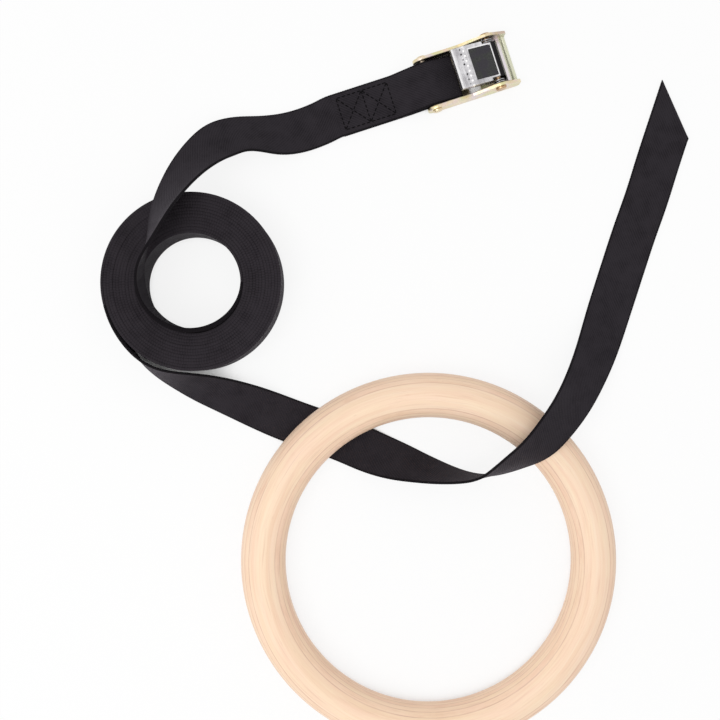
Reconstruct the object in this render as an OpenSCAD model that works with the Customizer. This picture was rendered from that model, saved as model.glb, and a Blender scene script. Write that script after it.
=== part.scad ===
// Gymnastics ring with a coiled webbing strap and a cam buckle, lying on a flat floor.
// Millimetres. The origin is on the floor under the middle of the ring, and +Z is up.

/* [Ring] */
// Clear hole for the hands
hole_d = 180; // [120:1:240]
// Thickness of the round wooden tube
tube_d = 28; // [20:0.5:40]
// Direction from the ring's middle to the place where it rests on the strap
rest_turn = 129; // [0:1:359]

/* [Webbing] */
// Width of the webbing
strap_w = 28; // [20:0.5:50]
// Thickness of the webbing
strap_t = 1.4; // [0.8:0.1:1.5]
// How far the slanting cut runs along the free end
tip_slant = 31; // [0:1:60]

/* [Coil] */
// Middle of the coil, left to right
coil_x = -147.4; // [-200:0.1:-100]
// Middle of the coil, front to back
coil_y = 174.1; // [120:0.1:220]
// Radius of the first turn
coil_r = 31.07; // [20:0.01:60]
// Growth of the radius in one turn
coil_pitch = 1.95; // [1.9:0.01:4]

/* [Buckle] */
// Rear end of the buckle, left to right
buckle_x = -5; // [-50:0.5:50]
// Rear end of the buckle, front to back
buckle_y = 300; // [280:0.5:340]
// Direction of the buckle's long side
buckle_turn = 18; // [-45:1:45]
// Length of the frame
frame_l = 62; // [58:0.5:80]
// Height of the rear part of the side rails
rail_h = 12; // [11:0.5:20]
// Thickness of the side rails
rail_t = 2; // [1:0.1:4]
// Thickness of the base plate
base_t = 2; // [1:0.1:3]
// Free space between the webbing and each rail
strap_side_gap = 1; // [0.3:0.1:3]
// Start of the base plate, from the rear end
base_from = 25; // [22:0.5:28]
// Length of the webbing slot in the base plate
slot_l = 8; // [4:0.5:10]
// Radius of the anchor pin
anchor_r = 2.5; // [1.5:0.1:3.2]
// Radius of the anchor pin's heads
anchor_head_r = 3.2; // [2:0.1:5]
// Radius of the pivot pin
pivot_r = 2; // [1.2:0.1:2.6]
// Radius of the pivot pin's heads
pivot_head_r = 3.6; // [2:0.1:5]
// Thickness of the pin heads
head_t = 1.4; // [0.6:0.1:3]

/* [Cam lever] */
// Pivot to thumb edge
thumb_reach = 25.7; // [20:0.1:26]
// Top of the thumb ridge above the pivot
thumb_h = 10.8; // [8:0.1:14]
// Free space between the lever and each rail
lever_side_gap = 2.2; // [1:0.1:3]
// Length of the thumb pad
pad_l = 15.2; // [6:0.1:15.6]
// Width of the thumb pad
pad_w = 20; // [8:0.1:20]
// Thickness of the thumb pad
pad_t = 1; // [0.5:0.1:1.1]

/* [Springs] */
// Wire thickness
wire_d = 0.9; // [0.5:0.05:0.9]
// Free space between the turns
wire_gap = 0.42; // [0.41:0.01:0.8]

/* [Hidden] */
$fn = 64;

// Ring
ply_count = 11;
ply_t = tube_d / ply_count;
ring_r = hole_d / 2 + tube_d / 2;
rest_gap = 0.3;
rest_lift = strap_t + rest_gap;
ring_tilt = asin(rest_lift / (2 * ring_r));
ring_mid = tube_d / 2 + rest_lift / 2;

// Coil
coil_start = 0;
coil_step = 15;
coil_steps = 301;
turn_steps = 360 / coil_step;
coil_end = coil_start + coil_step * coil_steps;

// The lead first climbs the inside of the coil as a ramp
climb_steps = 11;
climb_h = 25;
climb_in = 0.7;

// Route of the lead, from the top of the ramp to the sewn fold: x, y, z, lean of the webbing.
// It turns over as it leaves the coil, so its lean goes on to half a turn.
lead_points = [[-176.9, 174.8, 41.4, 91], [-176.4, 181.8, 43.8, 93.5], [-174.7, 188.1, 45.4, 97.5],
  [-171.8, 194, 46.4, 102], [-169.2, 199.6, 46.9, 107], [-167, 205.6, 46.8, 113], [-164.7, 212.5, 45.9, 120],
  [-161.4, 221, 43.9, 127], [-156, 231.8, 40.4, 135.5], [-148.9, 243.5, 35.3, 145.5],
  [-140.3, 254.4, 28.4, 156], [-130.4, 263.6, 20.8, 166.5], [-118.5, 269, 13.6, 153],
  [-106.5, 269.8, 8.6, 152], [-94.5, 270, 4.8, 168], [-82, 272.9, 1.6, 178], [-70, 277.5, 0.9, 180]];

// Route of the tail, from the coil's outer end, under the ring, over the ring and out to the cut tip.
// It turns over inside the ring.
tail_points = [[-196.4, 146.2, 14.1, 89], [-188.5, 133, 14.1, 86], [-181, 124.5, 14.1, 82],
  [-172.3, 118.3, 13.9, 77], [-162.5, 114, 13.5, 69], [-153.5, 111.2, 12.6, 59], [-145, 108.5, 11.2, 49],
  [-132.5, 104.5, 9.2, 37], [-120, 100, 7, 26], [-107.5, 95, 4.3, 14], [-94.5, 89.5, 1.6, 3],
  [-80, 84, 0.8, 0], [-64, 78.5, 0.7, 0], [-49, 72.5, 0.8, 0], [-33.5, 66.3, 4.8, -17],
  [-17.5, 61.1, 8.9, -36.5], [-5, 57.7, 11.8, -53], [7.5, 54.8, 13.3, -66], [17, 53, 14, -76],
  [26, 51.9, 14.7, -84.5], [32, 51.8, 15.7, -91], [38, 53, 17.5, -99], [43.9, 55.9, 21, -109.5],
  [49.8, 59.8, 26.4, -119], [55.6, 64.4, 32.6, -127.5], [61.9, 69.6, 37.8, -134.5],
  [67.2, 75, 40, -140.5], [72.5, 81, 39.4, -145], [79, 88.2, 35.8, -149], [90, 102, 27, -156],
  [100, 118, 16.6, -162.5], [106, 129.5, 10.2, -168], [111, 141, 5, -173], [115.5, 153.5, 2, -177.5],
  [125.5, 184, 0.8, -180], [133, 207, 0.7, -180], [141, 229.5, 0.7, -180], [148, 252, 0.7, -180],
  [159.5, 287, 0.7, -180]];

// Buckle frame
rail_gap = strap_w + 2 * strap_side_gap;
frame_w = rail_gap + 2 * rail_t;
nose_r = rail_h / 2;
nose_s = nose_r + 0.5;
pivot_s = frame_l - 13.5;
pivot_z = base_t + 9;
hump_r = 6;
hump_back = 18.5;
front_h = 9;
lip_r = 1.6;
slot_from = base_from + 5;
slot_w = strap_w + 1;
pin_clear = 0.05;
bore_clear = 0.08;
head_chamfer = 0.5;

// Sewn fold, along the buckle's long side: the loop goes round the anchor pin
loop_clear = 0.1;
loop_r = anchor_r + loop_clear + strap_t / 2;
loop_over = nose_s + 3.5;
tip_r = strap_t / 2 + 0.6;
tip_s = base_from - tip_r - strap_t / 2 - 0.2;
loop_rear = nose_s - 3.5;
fold_flat = -16;
fold_rise = -10;
fold_l = 40;
fold_end = fold_flat - fold_l;
hem_end = fold_end + 1;
top_layer = strap_t * 1.5;
low_layer = strap_t / 2;

// Stitching
thread_w = 0.8;
thread_h = 0.3;
stitch_from = fold_end + 3;
stitch_l = fold_l - 6;
stitch_w = strap_w - 7;

// Cam lever, measured from the pivot
lever_w = rail_gap - 2 * lever_side_gap;
tooth_turn = [-44, -54, -64, -74, -84];
tooth_clear = [2.1, 0.9, 0.35, 0.4, 0.75];
tooth_depth = 0.9;
cam_drop = pivot_z - base_t;
panel_back = 16;
panel_top = thumb_h - 0.6;
heel_out = 1;
heel_top = 5.9;
panel_slope = atan2(panel_top - heel_top, panel_back + heel_out);
thumb_edge = 3.3;
groove_w = 0.9;
groove_depth = 0.7;
groove_at = [thumb_reach - 3.4, thumb_reach - 5.5];
nub_r = 1;
nub_h = 0.6;
nub_count = 7;
nub_step = 3.2;
nub_at = panel_back + 1.8;
pad_clear = 0.2;
pad_sink = 0.2;
pad_from = 1.4;
notch_wall = 1;
notch_from = pad_w / 2 + notch_wall;
notch_r = 4.7;

// Springs, measured from the pivot
spring_r = pivot_r + 0.75 + wire_d / 2;
spring_pitch = wire_d + wire_gap;
spring_step = 18;
spring_turn_steps = 360 / spring_step;
spring_steps = 35;
spring_out = rail_gap / 2 - 0.4 - wire_d / 2;
wire_sides = 8;
leg_back = 9.8;
leg_up = 1.1;
leg_len = norm([leg_back, leg_up]);
leg_turn = 180 - atan2(leg_up, leg_back) + acos(spring_r / leg_len);
spring_first = leg_turn + spring_step * spring_steps;
leg_foot = spring_r * [cos(leg_turn), sin(leg_turn)];
leg_slope = atan2(leg_up - leg_foot[1], leg_foot[0] + leg_back);
leg_clear = 0.15;
anchor_sink = 0.6;

lever_outline = concat(
  [[-thumb_reach, thumb_h - thumb_edge], [-thumb_reach + 0.6, thumb_h - 0.6], [-thumb_reach + 1.4, thumb_h],
    [-panel_back, panel_top], [heel_out, heel_top], [heel_out + 3.1, heel_top - 2.3],
    [heel_out + 4.1, heel_top - 4.9], [cam_r(0) * cos(-36) - 1, cam_r(0) * sin(-36)]],
  [for (i = [0:8]) i % 2 == 0 ? cam_point(i / 2, 0) : cam_valley((i - 1) / 2)],
  [[-pivot_r, -6], [-5.3, -2.5], [-7.5, 0.5], [-12.5, 3.2], [-18.5, thumb_h - 5.4]]);

function unit(v) = v / norm(v);
function spot(p) = [p[0], p[1], p[2]];
function cam_r(k) = (cam_drop - tooth_clear[k]) / sin(-tooth_turn[k]);
function cam_point(k, cut) = (cam_r(k) - cut) * [cos(tooth_turn[k]), sin(tooth_turn[k])];
function cam_valley(k) = (cam_point(k, tooth_depth) + cam_point(k + 1, tooth_depth)) / 2;

function coil_radius(a) = coil_r + coil_pitch * (a - coil_start) / 360;
function coil_station(a) =
  [coil_x + coil_radius(a) * cos(a), coil_y + coil_radius(a) * sin(a), strap_w / 2, 90];
function climb_station(k) =
  let (a = coil_start - coil_step * k, f = k / climb_steps, r = coil_radius(a) - climb_in * f)
  [coil_x + r * cos(a), coil_y + r * sin(a), strap_w / 2 + climb_h * pow(f, 1.5), 90];
function coil_heading(a) =
  unit([-sin(a), cos(a), 0] * coil_radius(a) * PI / 180 + [cos(a), sin(a), 0] * coil_pitch / 360);
function on_buckle(s, z) =
  [buckle_x + s * cos(buckle_turn), buckle_y + s * sin(buckle_turn), z, 0];

coil_route = [for (k = [0:coil_steps]) coil_station(coil_start + coil_step * k)];
lead_route = concat([for (k = [0:climb_steps]) climb_station(k)], lead_points,
  [on_buckle(fold_end, top_layer) + [0, 0, 0, 180]]);
tail_route = concat([coil_station(coil_end)], tail_points);
buckle_heading = [cos(buckle_turn), sin(buckle_turn), 0];
tip_heading = unit(spot(tail_points[38]) - spot(tail_points[37]));

// Direction of travel at each station; the two ends are given
function headings(route, first, last) =
  [for (i = [0:len(route) - 1])
    i == 0 ? first : i == len(route) - 1 ? last : unit(spot(route[i + 1]) - spot(route[i - 1]))];

// Four corners of the webbing at one station
function corners(p, t, slant) =
  let (h = unit(cross([0, 0, 1], t)), u = cross(t, h), w = h * cos(p[3]) + u * sin(p[3]), n = cross(t, w))
  [for (c = [[1, 1], [-1, 1], [-1, -1], [1, -1]])
    spot(p) + w * c[0] * strap_w / 2 + n * c[1] * strap_t / 2 + t * c[0] * slant / 2];

// Faces of a closed tube of rings with the same number of points
function tube_faces(rings, m) = concat(
  [[for (j = [0:m - 1]) j]],
  [[for (j = [m - 1:-1:0]) (rings - 1) * m + j]],
  [for (i = [0:rings - 2], j = [0:m - 1]) [i * m + j, (i + 1) * m + j, (i + 1) * m + (j + 1) % m]],
  [for (i = [0:rings - 2], j = [0:m - 1]) [i * m + j, (i + 1) * m + (j + 1) % m, i * m + (j + 1) % m]]);

// Spring wire: from the rail, round the pivot and out to the lever
function spring_spot(k) =
  let (a = spring_first - spring_step * k)
  [spring_r * cos(a), spring_out - spring_pitch * k / spring_turn_steps, spring_r * sin(a)];
spring_in = spring_out - spring_pitch * spring_steps / spring_turn_steps;
spring_foot = [spring_r * cos(spring_first), 0, spring_r * sin(spring_first)];
spring_path = concat(
  [spring_foot + [0, rail_gap / 2 + anchor_sink, 0], spring_foot + [0, rail_gap / 2, 0],
    spring_foot + [0, spring_out + 0.3, 0]],
  [for (k = [0.6:1:spring_steps]) spring_spot(k)],
  [spring_spot(spring_steps), [-leg_back, spring_in, leg_up]]);
spring_loops = [for (k = [0:spring_steps]) spring_spot(k)];

// Rings of the wire, each turned from the one before by the least amount
function wire_headings(p) =
  [for (i = [0:len(p) - 1]) unit(p[min(i + 1, len(p) - 1)] - p[max(i - 1, 0)])];
function level(v, t) = unit(v - t * (v * t));
function carried(t, i) = i == 0 ? level([1, 0, 0], t[0]) : level(carried(t, i - 1), t[i]);
function wire_ring(p, t, a) =
  [for (j = [0:wire_sides - 1])
    p + (a * cos(360 * j / wire_sides) + cross(t, a) * sin(360 * j / wire_sides)) * wire_d / 2];

coil_gap = min([for (k = [0:coil_steps - turn_steps])
  norm(spot(coil_route[k + turn_steps]) - spot(coil_route[k])) - strap_t]);
spring_gap = min([for (k = [0:spring_steps - spring_turn_steps])
  norm(spring_loops[k + spring_turn_steps] - spring_loops[k]) - wire_d]);
echo(coil_gap = coil_gap, spring_gap = spring_gap);

module on_ring() {
  translate([0, 0, ring_mid])
    rotate([0, 0, rest_turn])
      rotate([0, -ring_tilt, 0])
        children();
}

module at_buckle() {
  translate([buckle_x, buckle_y, 0])
    rotate([0, 0, buckle_turn])
      children();
}

module at_pivot() {
  at_buckle()
    translate([pivot_s, 0, pivot_z])
      children();
}

// A profile drawn along the buckle and up, given a width across the buckle
module across(width) {
  rotate([90, 0, 0])
    linear_extrude(height = width, center = true)
      children();
}

module rod(radius, length) {
  rotate([90, 0, 0])
    cylinder(r = radius, h = length, center = true);
}

module ply(k, tone) {
  color(tone)
    on_ring()
      intersection() {
        rotate_extrude()
          translate([ring_r, 0])
            circle(r = tube_d / 2);
        translate([0, 0, -tube_d / 2 + ply_t * k])
          cylinder(r = ring_r + tube_d, h = ply_t);
      }
}

module ring_ply_01() { ply(0, "BurlyWood"); }
module ring_ply_02() { ply(1, "Tan"); }
module ring_ply_03() { ply(2, "BurlyWood"); }
module ring_ply_04() { ply(3, "Tan"); }
module ring_ply_05() { ply(4, "BurlyWood"); }
module ring_ply_06() { ply(5, "Tan"); }
module ring_ply_07() { ply(6, "BurlyWood"); }
module ring_ply_08() { ply(7, "Tan"); }
module ring_ply_09() { ply(8, "BurlyWood"); }
module ring_ply_10() { ply(9, "Tan"); }
module ring_ply_11() { ply(10, "BurlyWood"); }

module webbing(route, first, last, slant) {
  t = headings(route, first, last);
  n = len(route);
  color("DimGray")
    polyhedron(
      points = [for (i = [0:n - 1], c = corners(route[i], t[i], i == n - 1 ? slant : 0)) c],
      faces = tube_faces(n, 4));
}

module strap_coil() {
  webbing(coil_route, coil_heading(coil_start), coil_heading(coil_end), 0);
}

module strap_lead() {
  webbing(lead_route, -coil_heading(coil_start), buckle_heading, 0);
}

module strap_tail() {
  webbing(tail_route, coil_heading(coil_end), tip_heading, -tip_slant);
}

module strip(a, b) {
  translate(a)
    rotate([0, 0, atan2(b[1] - a[1], b[0] - a[0])])
      translate([0, -strap_t / 2])
        square([norm(b - a), strap_t]);
}

module bend(p) {
  translate(p)
    circle(r = strap_t / 2);
}

module fold_profile() {
  top = nose_r + loop_r;
  low = nose_r - loop_r;
  strip([fold_end, top_layer], [fold_flat, top_layer]);
  bend([fold_flat, top_layer]);
  strip([fold_flat, top_layer], [loop_rear, top]);
  bend([loop_rear, top]);
  strip([loop_rear, top], [loop_over, top]);
  bend([loop_over, top]);
  strip([loop_over, top], [tip_s, low + 2 * tip_r]);
  bend([tip_s, low + 2 * tip_r]);
  translate([tip_s, low + tip_r])
    intersection() {
      difference() {
        circle(r = tip_r + strap_t / 2);
        circle(r = tip_r - strap_t / 2);
      }
      translate([0, -2 * tip_r])
        square([2 * tip_r, 4 * tip_r]);
    }
  strip([loop_rear - 1, low], [tip_s, low]);
  bend([loop_rear - 1, low]);
  strip([fold_rise, low_layer], [loop_rear - 1, low]);
  bend([fold_rise, low_layer]);
  strip([hem_end, low_layer], [fold_rise, low_layer]);
}

module strap_fold() {
  color("DimGray")
    at_buckle()
      across(strap_w)
        fold_profile();
}

module thread(a, b) {
  translate([a[0], a[1], 2 * strap_t])
    rotate([0, 0, atan2(b[1] - a[1], b[0] - a[0])])
      translate([-thread_w / 2, -thread_w / 2, 0])
        cube([norm(b - a) + thread_w, thread_w, thread_h]);
}

module stitch_box(s) {
  w = stitch_w / 2;
  e = s + stitch_l / 2;
  thread([s, -w], [e, -w]);
  thread([s, w], [e, w]);
  thread([s, -w], [s, w]);
  thread([e, -w], [e, w]);
  thread([s, -w], [e, w]);
  thread([s, w], [e, -w]);
}

module box_stitching() {
  color("Gray")
    at_buckle() {
      stitch_box(stitch_from);
      stitch_box(stitch_from + stitch_l / 2);
    }
}

module rail_profile() {
  translate([nose_s, nose_r])
    circle(r = nose_r);
  translate([pivot_s, pivot_z])
    circle(r = hump_r);
  polygon([[nose_s, 0], [frame_l - lip_r, 0], [frame_l, lip_r], [frame_l, front_h],
    [pivot_s + hump_r * cos(45), pivot_z + hump_r * sin(45)],
    [pivot_s + hump_r * cos(105), pivot_z + hump_r * sin(105)],
    [pivot_s - hump_back, rail_h], [nose_s, rail_h]]);
}

module buckle_frame() {
  color("Khaki")
    at_buckle()
      difference() {
        union() {
          for (side = [-1, 1])
            translate([0, side * (rail_gap + rail_t) / 2, 0])
              across(rail_t)
                rail_profile();
          translate([base_from, -rail_gap / 2, 0])
            cube([frame_l - lip_r - base_from, rail_gap, base_t]);
          translate([frame_l - lip_r, 0, lip_r])
            rod(lip_r, rail_gap);
        }
        translate([slot_from, -slot_w / 2, -base_t])
          cube([slot_l, slot_w, 3 * base_t]);
        translate([nose_s, 0, nose_r])
          rod(anchor_r + pin_clear, 2 * frame_w);
        translate([pivot_s, 0, pivot_z])
          rod(pivot_r + pin_clear, 2 * frame_w);
      }
}

module headed_pin(radius, head_r) {
  rod(radius, frame_w);
  for (side = [-1, 1])
    translate([0, side * frame_w / 2, 0])
      rotate([-90 * side, 0, 0])
        cylinder(r1 = head_r, r2 = head_r - head_chamfer, h = head_t);
}

module anchor_pin() {
  color("Goldenrod")
    at_buckle()
      translate([nose_s, 0, nose_r])
        headed_pin(anchor_r, anchor_head_r);
}

module pivot_pin() {
  color("SaddleBrown")
    at_pivot()
      headed_pin(pivot_r, pivot_head_r);
}

module on_panel() {
  translate([-panel_back, 0, panel_top])
    rotate([0, panel_slope, 0])
      children();
}

module spring_notch() {
  notch_w = lever_w;
  translate([0, notch_from + notch_w / 2, 0]) {
    rod(notch_r, notch_w);
    translate([-notch_r, -notch_w / 2, 0])
      cube([2 * notch_r, notch_w, 2 * thumb_h]);
    translate([-leg_back, -notch_w / 2, leg_up])
      rotate([0, leg_slope, 0])
        translate([0, 0, -notch_r])
          cube([leg_back, notch_w, notch_r + wire_d / 2 + leg_clear]);
  }
}

module cam_lever() {
  color("Silver")
    at_pivot() {
      difference() {
        across(lever_w)
          polygon(lever_outline);
        rod(pivot_r + bore_clear, 2 * lever_w);
        spring_notch();
        mirror([0, 1, 0])
          spring_notch();
        for (s = groove_at)
          translate([-s - groove_w / 2, -lever_w, thumb_h - groove_depth])
            cube([groove_w, 2 * lever_w, thumb_h]);
        on_panel()
          translate([pad_from, -pad_w / 2, -pad_t - pad_sink])
            cube([pad_l, pad_w, thumb_h]);
      }
      for (k = [0:nub_count - 1])
        translate([-nub_at, (k - (nub_count - 1) / 2) * nub_step, panel_top - nub_h])
          cylinder(r1 = nub_r + nub_h, r2 = nub_r - nub_h / 2, h = 2 * nub_h);
    }
}

module thumb_pad() {
  color("DarkSlateGray")
    at_pivot()
      on_panel()
        translate([pad_from + pad_clear, -pad_w / 2 + pad_clear, -pad_t - pad_sink])
          cube([pad_l - 2 * pad_clear, pad_w - 2 * pad_clear, pad_t]);
}

module spring() {
  t = wire_headings(spring_path);
  n = len(spring_path);
  polyhedron(
    points = [for (i = [0:n - 1], c = wire_ring(spring_path[i], t[i], carried(t, i))) c],
    faces = tube_faces(n, wire_sides));
}

module cam_springs() {
  color("LightSteelBlue")
    at_pivot() {
      spring();
      mirror([0, 1, 0])
        spring();
    }
}

ring_ply_01();
ring_ply_02();
ring_ply_03();
ring_ply_04();
ring_ply_05();
ring_ply_06();
ring_ply_07();
ring_ply_08();
ring_ply_09();
ring_ply_10();
ring_ply_11();
strap_coil();
strap_lead();
strap_tail();
strap_fold();
box_stitching();
buckle_frame();
anchor_pin();
pivot_pin();
cam_lever();
thumb_pad();
cam_springs();
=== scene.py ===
import math

import bpy
import numpy as np
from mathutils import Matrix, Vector


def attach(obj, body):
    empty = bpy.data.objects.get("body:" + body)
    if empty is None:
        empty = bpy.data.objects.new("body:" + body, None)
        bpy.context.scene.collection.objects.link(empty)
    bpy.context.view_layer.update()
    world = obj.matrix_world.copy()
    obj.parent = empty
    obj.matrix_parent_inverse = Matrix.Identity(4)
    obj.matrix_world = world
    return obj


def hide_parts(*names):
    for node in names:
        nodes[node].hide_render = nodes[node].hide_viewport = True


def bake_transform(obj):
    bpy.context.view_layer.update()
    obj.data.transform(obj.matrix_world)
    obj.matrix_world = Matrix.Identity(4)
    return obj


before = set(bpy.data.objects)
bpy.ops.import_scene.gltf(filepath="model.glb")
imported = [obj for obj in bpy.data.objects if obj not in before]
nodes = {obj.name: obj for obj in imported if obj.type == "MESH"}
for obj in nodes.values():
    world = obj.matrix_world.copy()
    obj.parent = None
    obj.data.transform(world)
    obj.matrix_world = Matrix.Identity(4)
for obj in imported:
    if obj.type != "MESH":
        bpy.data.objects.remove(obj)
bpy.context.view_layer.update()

scene = bpy.context.scene
scene.view_settings.view_transform = "Standard"

# Camera, straight above the floor
cameraSetup = {"x": -0.04315, "y": 0.126, "height": 0.68, "lens": 52.78, "sensor": 36.0, "clip": (0.01, 100)}


def placeCamera(setup):
    data = bpy.data.cameras.new("topCamera")
    data.lens, data.sensor_width = setup["lens"], setup["sensor"]
    data.clip_start, data.clip_end = setup["clip"]
    camera = bpy.data.objects.new("topCamera", data)
    camera.location = (setup["x"], setup["y"], setup["height"])
    scene.collection.objects.link(camera)
    scene.camera = camera


placeCamera(cameraSetup)
print("camera placed")

# Node helpers: every finish below is drawn by nodes
noiseRange = (0.3, 0.7)      # nearly all values of a noise lie in here


def newFinish(name):
    finish = bpy.data.materials.new(name)
    finish.use_nodes = True
    tree = finish.node_tree
    return finish, tree, tree.nodes["Principled BSDF"]


def feed(tree, socket, value):
    if isinstance(value, bpy.types.NodeSocket):
        tree.links.new(value, socket)
    else:
        socket.default_value = value


def mathOf(tree, kind, operation, values):
    node = tree.nodes.new("ShaderNode" + kind)
    node.operation = operation
    for socket, value in zip(node.inputs, values):
        feed(tree, socket, value)
    return node.outputs


def calc(tree, operation, *values):
    return mathOf(tree, "Math", operation, values)[0]


def vectorCalc(tree, operation, *values):
    return mathOf(tree, "VectorMath", operation, values)["Value" if operation == "DOT_PRODUCT" else "Vector"]


def sumOf(tree, *parts):     # each part is a value and its share
    total = None
    for value, share in parts:
        scaled = calc(tree, "MULTIPLY", value, share)
        total = scaled if total is None else calc(tree, "ADD", total, scaled)
    return total


def bothOf(tree, *shares):
    joined = shares[0]
    for share in shares[1:]:
        joined = calc(tree, "MULTIPLY", joined, share)
    return joined


def gapOf(tree, first, second):
    return calc(tree, "ABSOLUTE", calc(tree, "SUBTRACT", first, second))


def reachOf(tree, first, second):
    squares = [calc(tree, "POWER", value, 2.0) for value in (first, second)]
    return calc(tree, "SQRT", calc(tree, "ADD", *squares))


def splitOf(tree, where):
    node = tree.nodes.new("ShaderNodeSeparateXYZ")
    tree.links.new(where, node.inputs[0])
    return [node.outputs[k] for k in range(3)]


def joinOf(tree, *values):
    node = tree.nodes.new("ShaderNodeCombineXYZ")
    for socket, value in zip(node.inputs, values):
        tree.links.new(value, socket)
    return node.outputs[0]


def noiseOf(tree, where, scale, detail=3.0, roughness=0.5, depth=None):
    node = tree.nodes.new("ShaderNodeTexNoise")
    tree.links.new(where, node.inputs["Vector"])
    if depth is not None:
        node.noise_dimensions = "4D"
        tree.links.new(depth, node.inputs["W"])
    node.inputs["Scale"].default_value = scale
    node.inputs["Detail"].default_value = detail
    node.inputs["Roughness"].default_value = roughness
    return node.outputs["Fac"]


def rampOf(tree, value, places, tones):
    node = tree.nodes.new("ShaderNodeValToRGB")
    bar = node.color_ramp
    while len(bar.elements) < len(tones):
        bar.elements.new(0.5)
    for mark, place, tone in zip(bar.elements, places, tones):
        mark.position, mark.color = place, (*tone, 1.0)
    tree.links.new(value, node.inputs["Fac"])
    return node.outputs["Color"]


def blendOf(tree, share, first, second, mode="MIX"):
    node = tree.nodes.new("ShaderNodeMix")
    node.data_type, node.blend_type = "RGBA", mode
    for key, value in (("Factor_Float", share), ("A_Color", first), ("B_Color", second)):
        socket = next(s for s in node.inputs if s.identifier == key)
        feed(tree, socket, (*value, 1.0) if isinstance(value, tuple) and len(value) == 3 else value)
    return next(s for s in node.outputs if s.identifier == "Result_Color")


def spanOf(tree, value, fromLow, fromHigh, toLow, toHigh):
    node = tree.nodes.new("ShaderNodeMapRange")
    feed(tree, node.inputs["Value"], value)
    for key, number in (("From Min", fromLow), ("From Max", fromHigh), ("To Min", toLow), ("To Max", toHigh)):
        node.inputs[key].default_value = number
    return node.outputs["Result"]


def bumpOf(tree, height, strength, distance):
    node = tree.nodes.new("ShaderNodeBump")
    node.inputs["Strength"].default_value = strength
    node.inputs["Distance"].default_value = distance
    tree.links.new(height, node.inputs["Height"])
    return node.outputs["Normal"]


def objectPlace(tree):
    return tree.nodes.new("ShaderNodeTexCoord").outputs["Object"]


def waveOf(tree, place, pitch):
    return calc(tree, "SINE", calc(tree, "MULTIPLY", place, 2 * math.pi / pitch))


def dress(tree, shader, colour, rough, normal, gloss=None):
    for key, socket in (("Base Color", colour), ("Roughness", rough), ("Normal", normal)):
        tree.links.new(socket, shader.inputs[key])
    if gloss is not None:
        shader.inputs["Specular IOR Level"].default_value = gloss


# Mesh helpers
def newPiece(name, verts, faces, finish, body):
    mesh = bpy.data.meshes.new(name)
    mesh.from_pydata(verts, [], faces)
    mesh.shade_smooth()
    piece = bpy.data.objects.new(name, mesh)
    scene.collection.objects.link(piece)
    mesh.materials.append(finish)
    if body:
        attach(piece, body)
    return piece


def tubeFaces(sections, sides):
    index = np.arange(sections * sides).reshape(sections, sides)
    after = np.roll(index, -1, axis=1)
    quads = np.stack([index[:-1], after[:-1], after[1:], index[1:]], axis=-1).reshape(-1, 4)
    return quads.tolist() + [index[0, ::-1].tolist(), index[-1].tolist()]


def unitRows(rows):
    return rows / np.linalg.norm(rows, axis=1, keepdims=True)


# Webbing: one cross-section swept along a route
strap = {
    "width": 0.028,
    "thickness": 0.0014,
    "selvedge": 0.0017,      # the woven edge is a little fuller than the middle
    "edgeSoft": 0.028,       # how round the woven edge is, as a share of half the width
    "edgeFlat": 0.62,        # share of the edge that is flat
    "edgeBead": 0.00011,     # bumps of the weft along both edges
    "beadFrom": 0.9,         # where they begin, as a share of half the width
    "beadPitch": 0.0016,
    "meltSwell": 0.35,       # how much fuller a melted end is
    "step": 0.0004,
    "coilStep": 0.0008,
    "stopSteps": 40,         # from each stop of a route to the next
    "ease": 0.0055,          # how far a bend of the route is rounded
    "twillPitch": 0.0022,
    "twillSlant": 1.15,
    "twillRelief": 0.6,
    "yarnPitch": 0.00092,
    "yarnRelief": 0.28,
    "pickFrom": (0.0121, 0.0129),  # off the middle, where the twill gives way to the picks of the edge
    "pickRelief": 0.55,
    "fuzzScale": 1500,
    "fuzzRelief": 0.8,
    "fuzzTone": 0.25,
    "mottleScale": 90,
    "mottleTone": 0.75,
    "weaveTone": (0.12, 0.5),      # darker in the hollows of the weave and lighter on its tops: painted shade and painted highlight of its relief
    "toneStops": (0.35, 0.8846),
    "darkTone": (0.0082, 0.0070, 0.0085),
    "lightTone": (0.0315, 0.0275, 0.0325),
    "rimFrom": (0.0126, 0.0134),
    "rimShade": 0.7,         # the webbing is darker along both edges
    "rimTone": (0.0035, 0.003, 0.0035),
    "roughness": (0.52, 0.72),
    "gloss": 0.015,
    "sheen": 0.17,
    "sheenRoughness": 0.4,
    "sheenTint": (0.6, 0.55, 0.62, 1.0),
    "bump": (0.55, 0.00016),
}


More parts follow.
